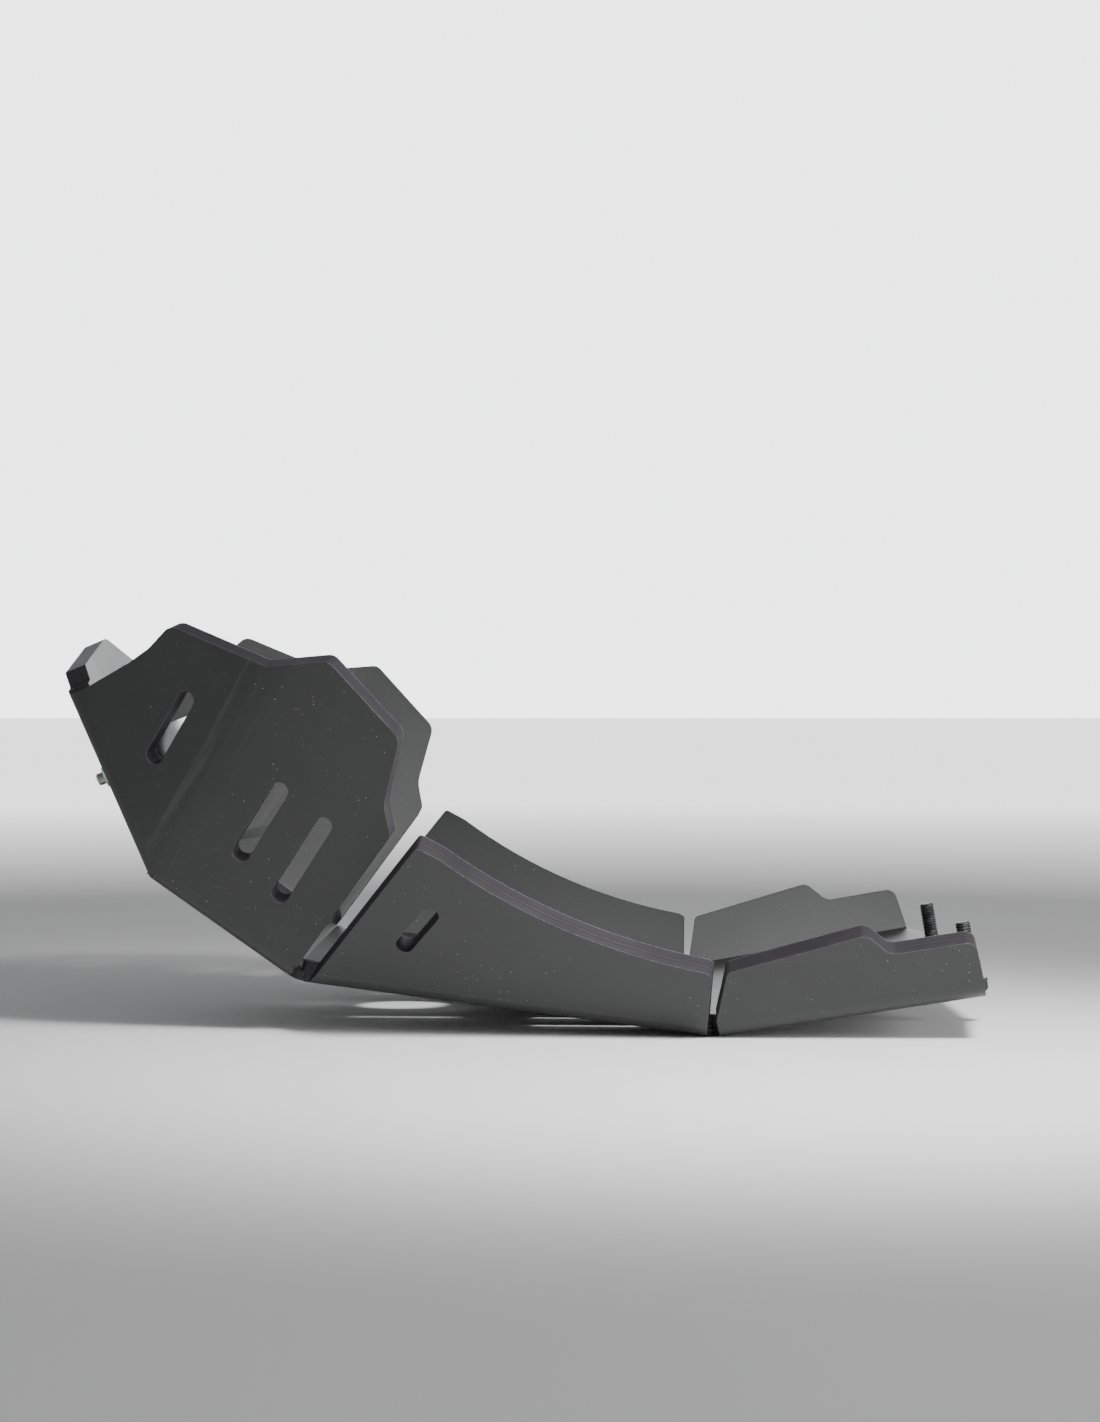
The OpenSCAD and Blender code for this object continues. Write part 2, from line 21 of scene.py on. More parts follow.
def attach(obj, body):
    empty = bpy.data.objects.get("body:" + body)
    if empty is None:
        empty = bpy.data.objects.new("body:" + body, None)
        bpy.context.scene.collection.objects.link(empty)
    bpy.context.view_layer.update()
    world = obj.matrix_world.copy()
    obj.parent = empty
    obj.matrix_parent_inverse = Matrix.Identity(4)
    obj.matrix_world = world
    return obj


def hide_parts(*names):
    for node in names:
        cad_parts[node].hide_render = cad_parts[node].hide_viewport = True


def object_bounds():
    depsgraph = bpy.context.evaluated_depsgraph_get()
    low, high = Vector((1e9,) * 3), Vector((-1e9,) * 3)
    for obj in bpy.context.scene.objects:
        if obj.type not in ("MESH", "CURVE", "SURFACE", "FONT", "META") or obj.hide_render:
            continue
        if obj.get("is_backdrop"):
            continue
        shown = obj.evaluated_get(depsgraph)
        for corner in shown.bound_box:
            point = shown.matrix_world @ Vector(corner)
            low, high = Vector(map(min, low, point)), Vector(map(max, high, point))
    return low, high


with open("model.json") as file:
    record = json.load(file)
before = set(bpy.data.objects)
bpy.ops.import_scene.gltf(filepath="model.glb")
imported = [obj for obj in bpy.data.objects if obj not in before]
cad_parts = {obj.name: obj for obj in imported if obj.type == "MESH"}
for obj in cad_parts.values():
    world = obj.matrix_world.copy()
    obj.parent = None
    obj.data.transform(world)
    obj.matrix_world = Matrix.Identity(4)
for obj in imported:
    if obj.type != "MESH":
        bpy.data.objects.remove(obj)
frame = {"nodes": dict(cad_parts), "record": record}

LOG = logging.getLogger("skid_plate")
MM = 0.001
BODY = "root"
SIDES = ("left", "right")
ACROSS = Vector((0.0, 1.0, 0.0))
PLASTIC_IOR = 1.5
BEVEL_SAMPLES = 6
EDGE_COSINES = (0.93, 0.99)
SHARP_TURNED = math.radians(32)
Triple = tuple[float, float, float]
Colour = Triple
Socket = bpy.types.NodeSocket


class Surface(Enum):
    """Kinds of surface on the cut and folded sheet, in the order of its material slots."""

    FLAT = 0
    BEND = 1
    CUT = 2


# Materials


@dataclass
class NodeSheet:
    """Writes one material's nodes. Each method adds a node and returns the socket that leaves it."""

    material: bpy.types.Material | bpy.types.World

    @classmethod
    def new(cls, name: str) -> "NodeSheet":
        """Starts an empty material.

        Args:
            name: Name of the material.

        Returns:
            The sheet of its nodes, with the default nodes removed.
        """
        material = bpy.data.materials.new(name)
        material.use_nodes = True
        material.node_tree.nodes.clear()
        return cls(material)

    def add(self, kind: str, inputs: dict, **settings: object) -> bpy.types.Node:
        """Adds a node.

        Args:
            kind: Blender's name of the node type.
            inputs: Values or sockets by input name or number.
            **settings: Properties of the node itself.

        Returns:
            The node.
        """
        tree = self.material.node_tree
        made = tree.nodes.new(kind)
        for key, item in settings.items():
            setattr(made, key, item)
        for key, item in inputs.items():
            if isinstance(item, bpy.types.NodeSocket):
                tree.links.new(item, made.inputs[key])
            else:
                made.inputs[key].default_value = item
        return made

    def node(self, kind: str, inputs: dict, output: str | int = 0, **settings: object) -> Socket:
        """Adds a node and returns one of its outputs, chosen by name or number."""
        return self.add(kind, inputs, **settings).outputs[output]

    def place(self) -> Socket:
        """Returns the point on the object, in metres."""
        return self.node("ShaderNodeTexCoord", {}, "Object")

    def facing(self) -> Socket:
        """Returns the smoothed surface direction, which is constant along a fold."""
        return self.node("ShaderNodeTexCoord", {}, "Normal")

    def math(self, operation: str, first: object, second: object = 0.0) -> Socket:
        """Returns the result of one sum on two numbers or sockets."""
        return self.node("ShaderNodeMath", {0: first, 1: second}, operation=operation)

    def stretched(self, vector: Socket, scale: Triple, turn: Triple = (0, 0, 0)) -> Socket:
        """Returns the vector turned by angles in radians and scaled along each axis."""
        return self.node("ShaderNodeMapping", {"Vector": vector, "Scale": scale, "Rotation": turn})

    def noise(self, vector: Socket, scale: float, detail: float = 2.0, roughness: float = 0.5) -> Socket:
        """Returns smooth noise between 0 and 1; scale is in waves a metre."""
        inputs = {"Vector": vector, "Scale": scale, "Detail": detail, "Roughness": roughness}
        return self.node("ShaderNodeTexNoise", inputs, "Fac")

    def between(self, value: Socket, low: float, high: float, start: float = 0.0, end: float = 1.0) -> Socket:
        """Maps low..high to start..end, held at both ends.

        Args:
            value: The socket to map.
            low: Value that becomes start.
            high: Value that becomes end.
            start: Result at and below low.
            end: Result at and above high.

        Returns:
            The mapped socket.
        """
        inputs = {"Value": value, "From Min": low, "From Max": high, "To Min": start, "To Max": end}
        return self.node("ShaderNodeMapRange", inputs)

    def blend(self, factor: Socket, first: object, second: object) -> Socket:
        """Returns a colour that goes from first to second as factor goes from 0 to 1."""
        ends = [item if isinstance(item, bpy.types.NodeSocket) else (*item, 1.0) for item in (first, second)]
        return self.node("ShaderNodeMix", {0: factor, 6: ends[0], 7: ends[1]}, 2, data_type="RGBA")

    def rounded_normal(self, radius: float) -> Socket:
        """Returns the normal with every edge rounded to the radius."""
        return self.node("ShaderNodeBevel", {"Radius": radius}, samples=BEVEL_SAMPLES)

    def edge_mask(self, radius: float) -> Socket:
        """Marks sharp edges by how far the rounded normal turns from the flat one.

        Args:
            radius: How far the mask reaches from the edge.

        Returns:
            A mask that is 1 on an edge and 0 away from it.
        """
        flat = self.node("ShaderNodeNewGeometry", {}, "True Normal")
        pair = {0: self.rounded_normal(radius), 1: flat}
        dot = self.node("ShaderNodeVectorMath", pair, "Value", operation="DOT_PRODUCT")
        return self.between(dot, *EDGE_COSINES, 1.0, 0.0)

    def bump(self, height: Socket, distance: float, normal: Socket, strength: float = 1.0) -> Socket:
        """Returns the normal with a relief of the given depth added."""
        inputs = {"Height": height, "Distance": distance, "Normal": normal, "Strength": strength}
        return self.node("ShaderNodeBump", inputs)

    def finish(
        self, colour: object, roughness: object, normal: Socket, **constants: object
    ) -> bpy.types.Material:
        """Adds the surface shader and the output.

        Args:
            colour: Base colour, a socket or three numbers.
            roughness: A socket or a number.
            normal: The normal's socket.
            **constants: Other inputs of the shader, by name with _ for each space.

        Returns:
            The finished material.
        """
        inputs: dict[str, object] = {
            "Base Color": colour if isinstance(colour, bpy.types.NodeSocket) else (*colour, 1.0),
            "Roughness": roughness,
            "Normal": normal,
        }
        inputs.update({key.replace("_", " "): item for key, item in constants.items()})
        self.add("ShaderNodeOutputMaterial", {"Surface": self.node("ShaderNodeBsdfPrincipled", inputs)})
        return self.material


@dataclass(frozen=True)
class SheetFinish:
    """Satin black polyethylene as the sheet's two faces show it, marked by handling; its folds carry painted
    highlight lines, and its edges are lightened partly by wear and partly as painted highlight.

    A field that ends in waves counts a pattern's waves in a metre, one that ends in depth is its relief.
    Hairs gives each direction of scratches its scales along the axes and its turn in radians.
    """

    name: str
    shade: Colour = (0.031, 0.0315, 0.0315)
    worn_and_highlight: Colour = (0.085, 0.086, 0.090)
    speck: Colour = (0.25, 0.245, 0.23)
    roughness: float = 0.46
    gloss: float = 0.38
    # Strength of the painted highlight lines along the folds.
    fold_highlight_lines: float = 0.0
    edge_radius: float = 0.5 * MM
    mottle_waves: float = 22.0
    mottle_shade: float = 0.84
    grain_waves: float = 2600.0
    grain_depth: float = 0.006 * MM
    peel_waves: float = 420.0
    peel_depth: float = 0.02 * MM
    speck_waves: float = 720.0
    speck_depth: float = 0.08 * MM
    cluster_waves: float = 34.0
    fold_highlight_waves: float = 46.0
    fold_highlight_strength: float = 0.5
    hair_run_waves: float = 30.0
    hair_strength: float = 0.32
    hairs: tuple[tuple[Triple, Triple], ...] = (
        ((900, 900, 14), (0.35, 0.9, 0.2)),
        ((1100, 10, 1100), (0.8, 0.1, 1.2)),
        ((16, 950, 950), (0.2, 1.1, 0.5)),
    )

    def material(self) -> bpy.types.Material:
        """Builds the material: mottling, hair scratches, specks of swarf, painted highlight lines along folds,
        and edges lightened partly by rubbing and partly as painted highlight.

        Returns:
            The material.
        """
        nodes = NodeSheet.new(self.name)
        place = nodes.place()
        mottle = nodes.noise(place, self.mottle_waves, 3)
        grain = nodes.noise(place, self.grain_waves, 2, 0.6)
        peel = nodes.noise(place, self.peel_waves, 1)
        hairs = self._hairs(nodes, place)
        specks = self._specks(nodes, place)
        fold_highlights = self._fold_highlights(nodes)
        # Edges are lightened partly as rubbed wear and partly as a painted highlight rim along each edge.
        rubbed = nodes.between(peel, 0.3, 0.7, 0.15, 0.6)
        edges = nodes.math("MULTIPLY", nodes.edge_mask(self.edge_radius), rubbed)
        darker = tuple(self.mottle_shade * c for c in self.shade)
        tone = nodes.blend(nodes.between(mottle, 0.3, 0.7), darker, self.shade)
        # Painted highlight: pale lines along the folds stand in for the sheen on the bends.
        tone = nodes.blend(nodes.math("MULTIPLY", fold_highlights, self.fold_highlight_strength), tone, self.worn_and_highlight)
        tone = nodes.blend(nodes.math("MULTIPLY", hairs, self.hair_strength), tone, self.worn_and_highlight)
        tone = nodes.blend(edges, tone, self.worn_and_highlight)
        tone = nodes.blend(specks, tone, self.speck)
        rough = nodes.between(mottle, 0.2, 0.8, self.roughness - 0.03, self.roughness + 0.04)
        rough = nodes.math("ADD", rough, nodes.math("MULTIPLY", hairs, 0.08))
        rough = nodes.math("SUBTRACT", rough, nodes.math("MULTIPLY", fold_highlights, 0.06))
        normal = nodes.bump(peel, self.peel_depth, nodes.rounded_normal(self.edge_radius), 0.35)
        normal = nodes.bump(grain, self.grain_depth, normal, 0.5)
        normal = nodes.bump(specks, self.speck_depth, normal)
        return nodes.finish(tone, rough, normal, IOR=PLASTIC_IOR, Specular_IOR_Level=self.gloss)

    def _hairs(self, nodes: NodeSheet, place: Socket) -> Socket:
        """Draws fine scratches in several directions, broken into short runs.

        Args:
            nodes: The material's nodes.
            place: The point on the object.

        Returns:
            A mask that is 1 on a scratch.
        """
        total = None
        for stretch, turn in self.hairs:
            lines = nodes.noise(nodes.stretched(place, stretch, turn), 1.0, 1)
            thin = nodes.between(lines, 0.70, 0.76)
            runs = nodes.noise(nodes.stretched(place, (1, 1, 1), turn), self.hair_run_waves, 2)
            layer = nodes.math("MULTIPLY", thin, nodes.between(runs, 0.5, 0.65))
            total = layer if total is None else nodes.math("MAXIMUM", total, layer)
        return total

    def _specks(self, nodes: NodeSheet, place: Socket) -> Socket:
        """Draws small pale specks that lie in loose clusters.

        Args:
            nodes: The material's nodes.
            place: The point on the object.

        Returns:
            A mask that is 1 in the middle of a speck.
        """
        inputs = {"Vector": place, "Scale": self.speck_waves, "Randomness": 1.0}
        cells = nodes.add("ShaderNodeTexVoronoi", inputs)
        chosen = nodes.node("ShaderNodeSeparateColor", {"Color": cells.outputs["Color"]})
        dot = nodes.between(cells.outputs["Distance"], 0.10, 0.18, 1.0, 0.0)
        rare = nodes.between(chosen, 0.87, 0.91)
        cluster = nodes.between(nodes.noise(place, self.cluster_waves, 1), 0.5, 0.6, 0.25, 1.0)
        return nodes.math("MULTIPLY", nodes.math("MULTIPLY", dot, rare), cluster)

    def _fold_highlights(self, nodes: NodeSheet) -> Socket:
        """Returns faint painted highlight lines that run along each fold, where the surface turns."""
        fine = nodes.noise(nodes.facing(), self.fold_highlight_waves, 2)
        return nodes.between(fine, 0.56, 0.70, 0.0, self.fold_highlight_lines)


@dataclass(frozen=True)
class CutFinish:
    """The sheet's milled edges: dark, with the cutter's fine pale lines along them and a painted highlight
    along the fuzzy arris.

    A field that ends in waves counts a pattern's waves in a metre, one that ends in depth is its relief.
    """

    name: str = "polyethylene_cut_edge"
    shade: Colour = (0.016, 0.0145, 0.017)
    line: Colour = (0.10, 0.092, 0.106)
    arris_highlight: Colour = (0.20, 0.19, 0.205)
    gloss: float = 0.25
    edge_radius: float = 0.4 * MM
    lines_across: float = 9.0
    line_depth: float = 0.05 * MM
    line_strength: float = 0.55
    arris_highlight_strength: float = 0.6
    wobble: float = 0.16
    wobble_waves: float = 60.0
    fade_waves: float = 45.0
    chatter_waves: float = 900.0
    chatter_depth: float = 0.01 * MM

    def material(self) -> bpy.types.Material:
        """Builds the material from the depth attribute, which is 0 inside and 1 outside across the edge.

        Returns:
            The material.
        """
        nodes = NodeSheet.new(self.name)
        place = nodes.place()
        depth = nodes.node("ShaderNodeAttribute", {}, "Fac", attribute_name="depth")
        wobble = nodes.math("MULTIPLY", nodes.noise(place, self.wobble_waves, 2), self.wobble)
        across = nodes.math("MULTIPLY", nodes.math("ADD", depth, wobble), self.lines_across)
        comb = nodes.node("ShaderNodeCombineXYZ", {"X": across})
        lines = nodes.noise(comb, 1.6, 4, 0.75)
        chatter = nodes.noise(place, self.chatter_waves, 2)
        fade = nodes.between(nodes.noise(place, self.fade_waves, 2), 0.35, 0.65, 0.35, 1.0)
        ridges = nodes.math("MULTIPLY", nodes.between(lines, 0.45, 0.62), fade)
        middle = nodes.math("ABSOLUTE", nodes.math("SUBTRACT", depth, 0.5))
        fuzz = nodes.between(chatter, 0.35, 0.6, 0.35, 1.0)
        # Painted highlight: a pale line along each arris of the cut edge, broken up by fuzz.
        arris_highlight_mask = nodes.math("MULTIPLY", nodes.between(middle, 0.455, 0.49), fuzz)
        tone = nodes.blend(nodes.math("MULTIPLY", ridges, self.line_strength), self.shade, self.line)
        tone = nodes.blend(nodes.math("MULTIPLY", arris_highlight_mask, self.arris_highlight_strength), tone, self.arris_highlight)
        rough = nodes.between(lines, 0.3, 0.7, 0.55, 0.68)
        normal = nodes.bump(lines, self.line_depth, nodes.rounded_normal(self.edge_radius), 0.6)
        normal = nodes.bump(chatter, self.chatter_depth, normal, 0.5)
        return nodes.finish(tone, rough, normal, IOR=PLASTIC_IOR, Specular_IOR_Level=self.gloss)


@dataclass(frozen=True)
class MetalFinish:
    """Plated or blackened steel: fine scratches, cloudy plating and rubbed edges.

    Brushed gives the scratches' waves in a metre along each axis.
    """

    name: str
    shade: Colour
    rubbed: Colour
    roughness: float
    metallic: float = 1.0
    brushed: Triple = (900, 900, 900)
    cloud_waves: float = 320.0
    cloud_shade: float = 0.8
    scratch_depth: float = 0.01 * MM
    edge_radius: float = 0.2 * MM
    rub_radius: float = 0.25 * MM

    def material(self) -> bpy.types.Material:
        """Builds the material.

        Returns:
            The material.
        """
        nodes = NodeSheet.new(self.name)
        place = nodes.place()
        cloud = nodes.noise(place, self.cloud_waves, 3)
        lines = nodes.noise(nodes.stretched(place, self.brushed), 1.0, 2)
        edges = nodes.math("MULTIPLY", nodes.edge_mask(self.rub_radius), nodes.between(cloud, 0.35, 0.6))
        darker = tuple(self.cloud_shade * c for c in self.shade)
        tone = nodes.blend(nodes.between(cloud, 0.3, 0.7), darker, self.shade)
        tone = nodes.blend(edges, tone, self.rubbed)
        rough = nodes.between(lines, 0.3, 0.7, self.roughness - 0.06, self.roughness + 0.08)
        normal = nodes.bump(lines, self.scratch_depth, nodes.rounded_normal(self.edge_radius), 0.6)
        return nodes.finish(tone, rough, normal, Metallic=self.metallic)


@dataclass(frozen=True)
class RubberFinish:
    """Matt moulded rubber with a fine stipple."""

    name: str = "clamp_rubber"
    shade: Colour = (0.022, 0.022, 0.023)
    dust: Colour = (0.06, 0.058, 0.055)
    dust_waves: float = 120.0
    stipple_waves: float = 1500.0
    stipple_depth: float = 0.04 * MM
    edge_radius: float = 0.3 * MM

    def material(self) -> bpy.types.Material:
        """Builds the material.

        Returns:
            The material.
        """
        nodes = NodeSheet.new(self.name)
        place = nodes.place()
        stipple = nodes.noise(place, self.stipple_waves, 2)
        dusty = nodes.between(nodes.noise(place, self.dust_waves, 3), 0.5, 0.8, 0.0, 0.35)
        tone = nodes.blend(dusty, self.shade, self.dust)
        normal = nodes.bump(stipple, self.stipple_depth, nodes.rounded_normal(self.edge_radius), 0.6)
        return nodes.finish(tone, nodes.between(stipple, 0.3, 0.7, 0.72, 0.86), normal)


@dataclass(frozen=True)
class FloorFinish:
    """Pale seamless studio paper that glows with painted light where it is far from the part.

    The glow begins at the near distance from the origin and is full at the far one.
    """

    name: str = "studio_paper"
    shade: Colour = (0.86, 0.86, 0.86)
    roughness: float = 0.9
    fibre_waves: float = 240.0
    fibre_depth: float = 0.05 * MM
    edge_radius: float = 0.1 * MM
    near: float = 0.75
    far: float = 2.6
    glow: float = 1.8

    def material(self) -> bpy.types.Material:
        """Builds the material.

        Returns:
            The material.
        """
        nodes = NodeSheet.new(self.name)
        place = nodes.place()
        fibre = nodes.noise(place, self.fibre_waves, 3)
        normal = nodes.bump(fibre, self.fibre_depth, nodes.rounded_normal(self.edge_radius), 0.3)
        # Painted light: the paper's emission grows the farther it lies from the origin.
        reach = nodes.node("ShaderNodeVectorMath", {0: place}, "Value", operation="LENGTH")
        glow = nodes.between(reach, self.near, self.far, 0.0, self.glow)
        white = (1.0, 1.0, 1.0, 1.0)
        return nodes.finish(self.shade, self.roughness, normal, Emission_Color=white, Emission_Strength=glow)


# Pieces


def link(mesh: bpy.types.Mesh, name: str) -> bpy.types.Object:
    """Puts a mesh in the scene as an object at the origin.

    Args:
        mesh: The mesh.
        name: Name of the object.

    Returns:
        The object.
    """
    made = bpy.data.objects.new(name, mesh)
    bpy.context.scene.collection.objects.link(made)
    return made


@dataclass(frozen=True)
class Axis:
    """A straight axis with two directions square to it."""

    origin: Vector
    along: Vector
    across: Vector
    up: Vector

    @classmethod
    def of_node(cls, node: str, along: Vector) -> tuple["Axis", float, float]:
        """Finds the axis that a turned or hexagonal node lies round.

        Args:
            node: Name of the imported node.
            along: Direction of its axis.

        Returns:
            The axis, with its origin abreast of the model's origin, and the node's two ends along it.
        """
        along = along.normalized()
        up = along.cross(ACROSS)
        points = [v.co for v in frame["nodes"][node].data.vertices]
        spans = [sorted(p.dot(d) for p in points) for d in (along, ACROSS, up)]
        middles = [(span[0] + span[-1]) / 2 for span in spans]
        origin = ACROSS * middles[1] + up * middles[2]
        return cls(origin, along, ACROSS, up), spans[0][0], spans[0][-1]

    def point(self, along: float, radius: float, angle: float) -> Vector:
        """Returns the point at a place along the axis, a radius and an angle."""
        sideways, upwards = radius * math.cos(angle), radius * math.sin(angle)
        return self.origin + self.along * along + self.across * sideways + self.up * upwards


Profile = list[tuple[float, Callable[[float], float]]]


def turned(name: str, axis: Axis, profile: Profile, segments: int) -> bpy.types.Object:
    """Builds a closed piece from rings round an axis.

    Args:
        name: Name of the piece.
        axis: The axis.
        profile: Place along the axis and radius as a function of the angle, ring by ring.
        segments: Points in each ring.

    Returns:
        The piece, its two ends closed.
    """
    angles = [2 * math.pi / segments * j for j in range(segments)]
    points = [axis.point(along, radius(angle), angle) for along, radius in profile for angle in angles]
    last = (len(profile) - 1) * segments
    faces: list[tuple[int, ...]] = []
    for ring in range(0, last, segments):
        for j in range(segments):
            k = (j + 1) % segments
            faces.append((ring + j, ring + k, ring + segments + k, ring + segments + j))
    faces += [tuple(reversed(range(segments))), tuple(range(last, last + segments))]
    mesh = bpy.data.meshes.new(name)
    mesh.from_pydata([tuple(p) for p in points], [], faces)
    bm = bmesh.new()
    bm.from_mesh(mesh)
    bmesh.ops.recalc_face_normals(bm, faces=bm.faces)
    bm.to_mesh(mesh)
    bm.free()
    mesh.shade_smooth()
    mesh.set_sharp_from_angle(angle=SHARP_TURNED)
    return link(mesh, name)


def hexagon(across_flats: float) -> Callable[[float], float]:
    """Returns the radius of a hexagon by angle."""
    sixth = math.pi / 3
    return lambda angle: across_flats / 2 / math.cos((angle + sixth / 2) % sixth - sixth / 2)


def circle(radius: float) -> Callable[[float], float]:
    """Returns a constant radius."""
    return lambda angle: radius


def within(shape: Callable[[float], float], radius: float) -> Callable[[float], float]:
    """Returns the shape, cut back to the radius."""
    return lambda angle: min(shape(angle), radius)


@dataclass
class FoldedSheet:
    """The plate itself: one sheet, cut, folded warm and finished by kind of surface.

    A face counts as the sheet's skin where a parallel face lies one thickness behind it. The tolerance is a
    share of the thickness. Skin that shares its direction with less than flat_area is a bend, unless it is a
    sliver. Points nearer than twin are one point, and edges shorter than weld are closed up.
    """

    node: str = "skid_plate"
    thickness: float = 8 * MM
    tolerance: float = 0.12
    parallel: float = -0.95
    ray_start: float = 0.01 * MM
    heart: Vector = field(default_factory=lambda: Vector((0.0, 0.0, 0.09)))
    sharp: float = math.radians(25)
    flat_area: float = 8e-4
    sliver: float = 4e-6
    twin: float = 0.002 * MM
    weld: float = 0.04 * MM
    finishes: dict[Surface, SheetFinish | CutFinish] = field(
        default_factory=lambda: {
            Surface.FLAT: SheetFinish("polyethylene_face", fold_highlight_lines=0.35),
            Surface.BEND: SheetFinish("polyethylene_bend", roughness=0.40, fold_highlight_lines=0.6),
            Surface.CUT: CutFinish(),
        }
    )

    def build(self) -> bpy.types.Object:
        """Builds the skin of the sheet and dresses it.

        Returns:
            The piece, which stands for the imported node.
        """
        mesh = frame["nodes"][self.node].data.copy()
        mesh.materials.clear()
        bm = bmesh.new()
        bm.from_mesh(mesh)
        bmesh.ops.remove_doubles(bm, verts=bm.verts, dist=self.twin)
        bmesh.ops.dissolve_degenerate(bm, dist=self.weld, edges=bm.edges)
        bm.normal_update()
        kinds, outer = self._sort_faces(bm)
        self._mark(bm, kinds, outer)
        bm.to_mesh(mesh)
        bm.free()
        for surface in Surface:
            mesh.materials.append(self.finishes[surface].material())
        skin = link(mesh, "folded_sheet")
        self._smooth(skin)
        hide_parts(self.node)
        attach(skin, BODY)
        return skin

    def _sort_faces(self, bm: bmesh.types.BMesh) -> tuple[dict[int, Surface], set[int]]:
        """Tells the sheet's skin from its cut edges by the thickness behind it, and its flats from its bends.

        Args:
            bm: The sheet's mesh.

        Returns:
            The kind of each face by its index, and the indices of the faces on the outside of the trough.
        """
        bm.faces.ensure_lookup_table()
        tree = BVHTree.FromBMesh(bm)
        kinds: dict[int, Surface] = {}
        outer: set[int] = set()
        for region in self._regions(bm):
            total = sum(face.calc_area() for face in region)
            skin = sum(face.calc_area() for face in region if self._is_skin(tree, face))
            outward = sum(face.calc_area() * self._outwardness(face) for face in region)
            if skin < total / 2:
                kinds.update({face.index: Surface.CUT for face in region})
                continue
            kinds.update(self._flats_and_bends(region))
            if outward > 0:
                outer.update(face.index for face in region)
        return kinds, outer

    def _regions(self, bm: bmesh.types.BMesh) -> list[list[bmesh.types.BMFace]]:
        """Groups the faces that run smoothly into each other.

        Args:
            bm: The sheet's mesh.

        Returns:
            The groups, each a list of faces.
        """
        regions: list[list[bmesh.types.BMFace]] = []
        seen: set[int] = set()
        for seed in bm.faces:
            if seed.index in seen:
                continue
            seen.add(seed.index)
            region = [seed]
            for face in region:
                for edge in face.edges:
                    for other in edge.link_faces:
                        if other.index not in seen and edge.calc_face_angle(math.pi) < self.sharp:
                            seen.add(other.index)
                            region.append(other)
            regions.append(region)
        return regions

    def _is_skin(self, tree: BVHTree, face: bmesh.types.BMFace) -> bool:
        """Tells whether the sheet lies behind the face with its full thickness and a parallel far side.

        Args:
            tree: The sheet's surface.
            face: The face to judge.

        Returns:
            True on the sheet's skin, False on its cut edges.
        """
        start = face.calc_center_median() - face.normal * self.ray_start
        hit, normal, _, distance = tree.ray_cast(start, -face.normal)
        if hit is None or normal.dot(face.normal) > self.parallel:
            return False
        return abs(distance - self.thickness) < self.tolerance * self.thickness

    def _outwardness(self, face: bmesh.types.BMFace) -> float:
        """Returns how far the face looks away from the middle of the trough."""
        return face.normal.dot((face.calc_center_median() - self.heart).normalized())

    def _flats_and_bends(self, region: list[bmesh.types.BMFace]) -> dict[int, Surface]:
        """Tells the flat stretches of a region from its folds by the area that shares one direction.

        Args:
            region: Faces that run smoothly into each other.

        Returns:
            The kind of each face by its index.
        """
        areas: dict[tuple[float, ...], float] = {}
        keys = {face.index: tuple(round(c, 2) for c in face.normal) for face in region}
        for face in region:
            areas[keys[face.index]] = areas.get(keys[face.index], 0.0) + face.calc_area()
        kinds: dict[int, Surface] = {}
        for face in region:
            bent = areas[keys[face.index]] < self.flat_area and face.calc_area() > self.sliver
            kinds[face.index] = Surface.BEND if bent else Surface.FLAT
        return kinds

    def _mark(self, bm: bmesh.types.BMesh, kinds: dict[int, Surface], outer: set[int]) -> None:
        """Writes the material, the sharp edges and the depth across the cut edges.

        Args:
            bm: The sheet's mesh.
            kinds: The kind of each face.
            outer: The faces on the outside of the trough.
        """
        depth = bm.verts.layers.float.new("depth")
        for vert in bm.verts:
            skins = [f.index in outer for f in vert.link_faces if kinds[f.index] is not Surface.CUT]
            vert[depth] = sum(skins) / len(skins) if skins else 0.5
        for face in bm.faces:
            face.smooth = True
            face.material_index = kinds[face.index].value
        for edge in bm.edges:
            faces = edge.link_faces
            if len(faces) != 2:
                continue
            cut = [kinds[f.index] is Surface.CUT for f in faces]
            edge.smooth = not any(cut) or (all(cut) and edge.calc_face_angle(0.0) < self.sharp)

    def _smooth(self, skin: bpy.types.Object) -> None:
        """Gives flat stretches flat shading up to their folds, by weighting the normals by area.

        Args:
            skin: The sheet's piece.
        """
        weighted = skin.modifiers.new("weighted_normals", "WEIGHTED_NORMAL")
        weighted.keep_sharp = True
        weighted.mode = "FACE_AREA"
        weighted.weight = 100


